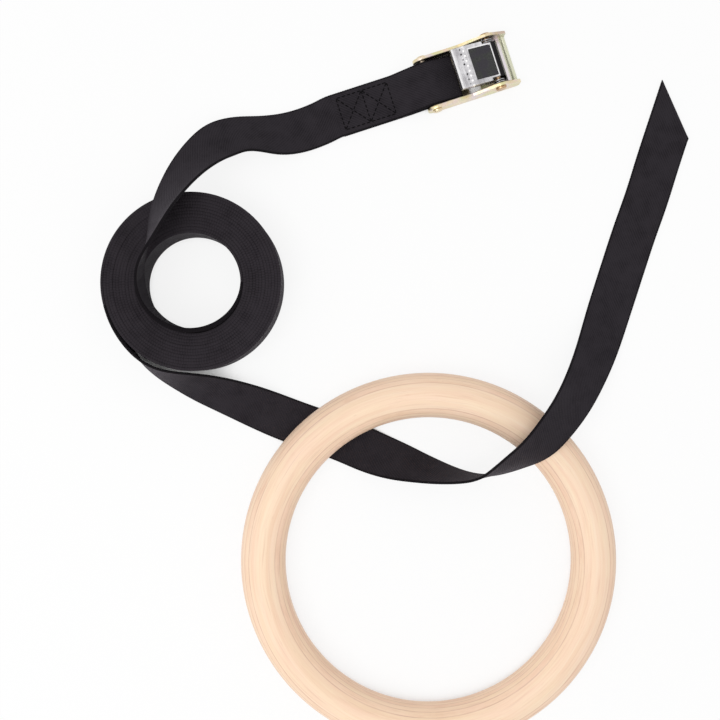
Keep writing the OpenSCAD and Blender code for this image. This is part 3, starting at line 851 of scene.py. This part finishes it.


# Painted highlights and painted shade on the lever's casting, in metres along and across the buckle
lever = {
    "dotRow": 0.0307,
    "dotStep": 0.0032,
    "dotHighlight": (0.0006, 0.0011),
    "shadeSpotRow": 0.0289,
    "shadeSpotSize": (0.00035, 0.0008),
    "shadeSpotScale": 240,
    "shadeSpotFrom": (0.42, 0.56),
    "shadeTone": (0.014, 0.013, 0.014),
    "noseHighlight": (0.0237, 0.0252),
    "noseShare": 0.75,
    "padMiddle": 0.04115,
    "padHalf": (0.0073, 0.0100),
    "rim": (0.00045, 0.000675),
    "rimShare": 0.9,
    "rimTone": (0.95, 0.94, 0.94),
    "litAlong": (0.0460, 0.0475),   # painted highlight on the pad's rim at its front
    "litAcross": (0.0082, 0.0095),  # and on its upper side
    "darkFrom": (0.0492, 0.0495),    # painted shade on the back of the lever
}


def dotsOf(tree, along, across, row, shift, inner, outer):
    count = calc(tree, "ADD", calc(tree, "DIVIDE", across, lever["dotStep"]), shift)
    side = calc(tree, "MULTIPLY", calc(tree, "SUBTRACT", count, calc(tree, "ROUND", count)), lever["dotStep"])
    return spanOf(tree, reachOf(tree, side, calc(tree, "SUBTRACT", along, row)), inner, outer, 1.0, 0.0)


def leverDetails(tree, shader, place, colour):
    look = lever
    along, across, _ = buckleSpot(tree, place)
    outside = calc(tree, "MAXIMUM",
                   calc(tree, "SUBTRACT", gapOf(tree, along, look["padMiddle"]), look["padHalf"][0]),
                   calc(tree, "SUBTRACT", calc(tree, "ABSOLUTE", across), look["padHalf"][1]))
    # painted highlight on the pad's rim, at its front and upper side
    wearAndHighlight = calc(tree, "MAXIMUM", spanOf(tree, along, *look["litAlong"], 0.0, 1.0),
                spanOf(tree, across, *look["litAcross"], 0.0, 1.0))
    rim = bothOf(tree, spanOf(tree, calc(tree, "ABSOLUTE", outside), *look["rim"], look["rimShare"], 0.0), wearAndHighlight)
    # painted highlight: the lever lighter towards its nose
    nose = spanOf(tree, along, *look["noseHighlight"], look["noseShare"], 0.0)
    # painted highlight on the tops of the nubs
    tops = dotsOf(tree, along, across, look["dotRow"], 0.0, *look["dotHighlight"])
    bright = calc(tree, "MAXIMUM", calc(tree, "MAXIMUM", rim, nose), tops)
    # painted shade: dark spots beside the nubs, in patches
    patchy = spanOf(tree, noiseOf(tree, place, look["shadeSpotScale"], 1.0), *look["shadeSpotFrom"], 0.0, 1.0)
    shadeSpots = bothOf(tree, dotsOf(tree, along, across, look["shadeSpotRow"], 0.5, *look["shadeSpotSize"]), patchy)
    # painted shade on the lever's back, for the dark gap behind it
    back = spanOf(tree, along, *look["darkFrom"], 0.0, 1.0)
    colour = blendOf(tree, bright, colour, look["rimTone"])
    return blendOf(tree, calc(tree, "MAXIMUM", shadeSpots, back), colour, look["shadeTone"])


tints = (metal["pinkTint"], metal["greenTint"], metal["lilacTint"])
yellowZinc = metalFinish("yellowZinc", metal["gold"], roughness=0.3, brushed=0.2, tints=tints,
                         details=platingDetails)
brownRivet = metalFinish("brownRivet", metal["brown"], roughness=0.32, brushed=0.0)
zincCasting = metalFinish("zincCasting", metal["cast"], roughness=0.34, brushed=0.7, details=leverDetails)
springWire = metalFinish("springWire", metal["wire"], roughness=0.3, brushed=0.0)

# Thumb pad
pad = {
    "speckScale": 1800,
    "toneStops": (0.35, 0.7),
    "darkTone": (0.020, 0.021, 0.020),
    "lightTone": (0.052, 0.054, 0.050),
    "wornScale": 190,
    "wornFrom": (0.42, 0.6),
    "wornShare": 0.75,
    "wornTone": (0.030, 0.025, 0.036),
    "roughness": (0.38, 0.52),
    "gloss": 0.3,
    "bump": (0.3, 0.00006),
}


def padFinish(look):
    finish, tree, shader = newFinish("satinPad")
    place = objectPlace(tree)
    speck = noiseOf(tree, place, look["speckScale"], 2.0, 0.6)
    colour = rampOf(tree, speck, look["toneStops"], (look["darkTone"], look["lightTone"]))
    patches = noiseOf(tree, place, look["wornScale"], 2.0)
    wearAndHighlight = spanOf(tree, patches, *look["wornFrom"], 0.0, look["wornShare"])
    colour = blendOf(tree, wearAndHighlight, colour, look["wornTone"])
    rough = spanOf(tree, speck, *noiseRange, *look["roughness"])
    dress(tree, shader, colour, rough, bumpOf(tree, speck, *look["bump"]), look["gloss"])
    return finish


# Rounded edges of the metal
edges = {"weld": 0.00001, "flatWithin": 1.0, "sharpFrom": 28, "segments": 3, "close": 0.000004}


def roundEdges(piece, width):
    weld = piece.modifiers.new("weld", "WELD")
    weld.merge_threshold = edges["weld"]
    flat = piece.modifiers.new("flatFaces", "DECIMATE")
    flat.decimate_type, flat.angle_limit = "DISSOLVE", math.radians(edges["flatWithin"])
    bevel = piece.modifiers.new("roundEdges", "BEVEL")
    bevel.width, bevel.segments, bevel.limit_method = width, edges["segments"], "ANGLE"
    bevel.angle_limit = math.radians(edges["sharpFrom"])
    bevel.miter_outer = "MITER_ARC"
    close = piece.modifiers.new("closeCorners", "WELD")
    close.merge_threshold = edges["close"]


for nodeName, finish, edge in (("buckle_frame", yellowZinc, "frameEdge"), ("anchor_pin", yellowZinc, "pinEdge"),
                               ("pivot_pin", brownRivet, "pinEdge"), ("cam_lever", zincCasting, "leverEdge"),
                               ("thumb_pad", padFinish(pad), "leverEdge")):
    nodes[nodeName].data.materials[0] = finish
    roundEdges(nodes[nodeName], metal[edge])
print("buckle finished")

# Cam springs: wire wound round the pivot, from a side rail to the lever
spring = {
    "pivot": (0.0485, 0.011),     # along and up
    "radius": 0.0032,
    "wire": 0.00045,              # radius
    "sides": 14,
    "pitch": 0.00132,
    "outer": 0.01415,             # across, where the first turn starts
    "anchor": 0.0156,             # across, in the rail
    "footGap": 0.0003,            # left for the bend from the rail into the first turn
    "footSteps": 5,
    "turned": 630.0,
    "turnSteps": 170,
    "turnSkip": 3,                # steps that the bend takes from the first turn
    "leg": (0.0098, 0.0011),      # back and up to the leg's end
    "legShares": (0.1, 0.4, 0.7, 0.93, 0.98, 1.0),
    "cutEnd": (1.0, 0.85, 0.5),   # the cut end is rounded off
}


def windSpring(name, setup, side):
    back, up = setup["leg"]
    radius = setup["radius"]
    lastTurn = math.pi - math.atan2(up, back) + math.acos(radius / math.hypot(back, up))
    turns = lastTurn + np.radians(np.linspace(setup["turned"], 0, setup["turnSteps"]))
    inner = setup["outer"] - setup["pitch"] * setup["turned"] / 360
    across = np.linspace(setup["outer"], inner, len(turns))
    wound = np.stack([radius * np.cos(turns), across, radius * np.sin(turns)], axis=1)
    footPlaces = np.linspace(setup["anchor"], setup["outer"] + setup["footGap"], setup["footSteps"])
    foot = [(wound[0, 0], place, wound[0, 2]) for place in footPlaces]
    legEnd = np.array([-back, inner, up])
    leg = [wound[-1] + (legEnd - wound[-1]) * share for share in setup["legShares"]]
    line = np.vstack([foot, wound[setup["turnSkip"]:], leg])
    fat = np.full(len(line), setup["wire"])
    fat[-len(setup["cutEnd"]):] *= setup["cutEnd"]
    ways = unitRows(np.gradient(line, axis=0))
    out = np.array([1.0, 0.0, 0.0])
    verts, sides = [], setup["sides"]
    pivotAlong, pivotUp = setup["pivot"]
    for spot, way, thick in zip(line, ways, fat):
        out = out - way * (out @ way)
        out = out / np.linalg.norm(out)
        over = np.cross(way, out)
        for turn in np.linspace(0, 2 * math.pi, sides, endpoint=False):
            point = spot + thick * (out * math.cos(turn) + over * math.sin(turn))
            verts.append(onBuckle(pivotAlong + point[0], side * point[1], pivotUp + point[2]).tolist())
    faces = tubeFaces(len(line), sides)
    if side < 0:
        faces = [face[::-1] for face in faces]
    piece = newPiece(name, verts, faces, springWire, None)
    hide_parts("cam_springs")
    still = onBuckle(pivotAlong, side * setup["outer"], pivotUp)
    pushed = onBuckle(pivotAlong, side * (inner + setup["wire"]), pivotUp)
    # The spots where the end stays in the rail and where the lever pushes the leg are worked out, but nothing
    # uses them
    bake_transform(piece)


windSpring("camSpringUpper", spring, 1)
windSpring("camSpringLower", spring, -1)
print("springs wound")

# Floor and light
studio = {
    "floorSize": 12.0,
    "floorDrop": 0.0003,
    "floorTone": (0.95, 0.95, 0.95, 1.0),
    "floorGlow": 0.85,       # share of the floor's own white in the picture; the rest takes the shadow
    "creviceReach": 0.02,    # how near a piece has to be to shade the floor's own white
    "creviceRays": 12,
    "creviceOpen": (0.2, 0.42),    # the open share of the sky at which that white is gone and whole
    "skyTone": (1.0, 1.0, 1.0, 1.0),
    "skyLight": 0.66,
    "boxPlace": (-0.47, -0.17, 1.35),
    "boxAim": (-0.02, 0.1, 0.0),
    "boxSize": 0.9,
    "boxPower": 8.1,
}


def seenRays(tree):
    path = tree.nodes.new("ShaderNodeLightPath").outputs
    mirrored = calc(tree, "MAXIMUM", path["Is Glossy Ray"], path["Is Transmission Ray"])
    return calc(tree, "MAXIMUM", path["Is Camera Ray"], mirrored)


def layFloor(setup):
    size, low = setup["floorSize"] / 2, -setup["floorDrop"]
    mesh = bpy.data.meshes.new("floor")
    mesh.from_pydata([(-size, -size, low), (size, -size, low), (size, size, low), (-size, size, low)],
                     [], [(0, 1, 2, 3)])
    floor = bpy.data.objects.new("floor", mesh)
    scene.collection.objects.link(floor)
    paint, tree, shader = newFinish("paleFloor")
    tree.nodes.remove(shader)
    dull = tree.nodes.new("ShaderNodeBsdfDiffuse")
    dull.inputs["Color"].default_value = setup["floorTone"]
    glow = tree.nodes.new("ShaderNodeEmission")
    cover = tree.nodes.new("ShaderNodeAmbientOcclusion")
    cover.samples = setup["creviceRays"]
    cover.inputs["Distance"].default_value = setup["creviceReach"]
    bare = spanOf(tree, cover.outputs["AO"], *setup["creviceOpen"], 0.0, setup["floorGlow"])
    both = tree.nodes.new("ShaderNodeMixShader")
    shown = bothOf(tree, seenRays(tree), bare)
    for socket, value in zip(both.inputs, (shown, dull.outputs[0], glow.outputs[0])):
        tree.links.new(value, socket)
    tree.links.new(both.outputs[0], tree.nodes["Material Output"].inputs["Surface"])
    mesh.materials.append(paint)


def setLight(setup):
    world = bpy.data.worlds.new("studio")
    world.use_nodes = True
    scene.world = world
    tree = world.node_tree
    sky = tree.nodes["Background"]
    sky.inputs["Color"].default_value = setup["skyTone"]
    tree.links.new(spanOf(tree, seenRays(tree), 0.0, 1.0, setup["skyLight"], 1.0), sky.inputs["Strength"])
    lamp = bpy.data.lights.new("softBox", "AREA")
    lamp.size, lamp.energy = setup["boxSize"], setup["boxPower"]
    box = bpy.data.objects.new("softBox", lamp)
    box.location = setup["boxPlace"]
    box.rotation_euler = (Vector(setup["boxAim"]) - box.location).to_track_quat("-Z", "Y").to_euler()
    scene.collection.objects.link(box)


layFloor(studio)
setLight(studio)
print("floor and light set")
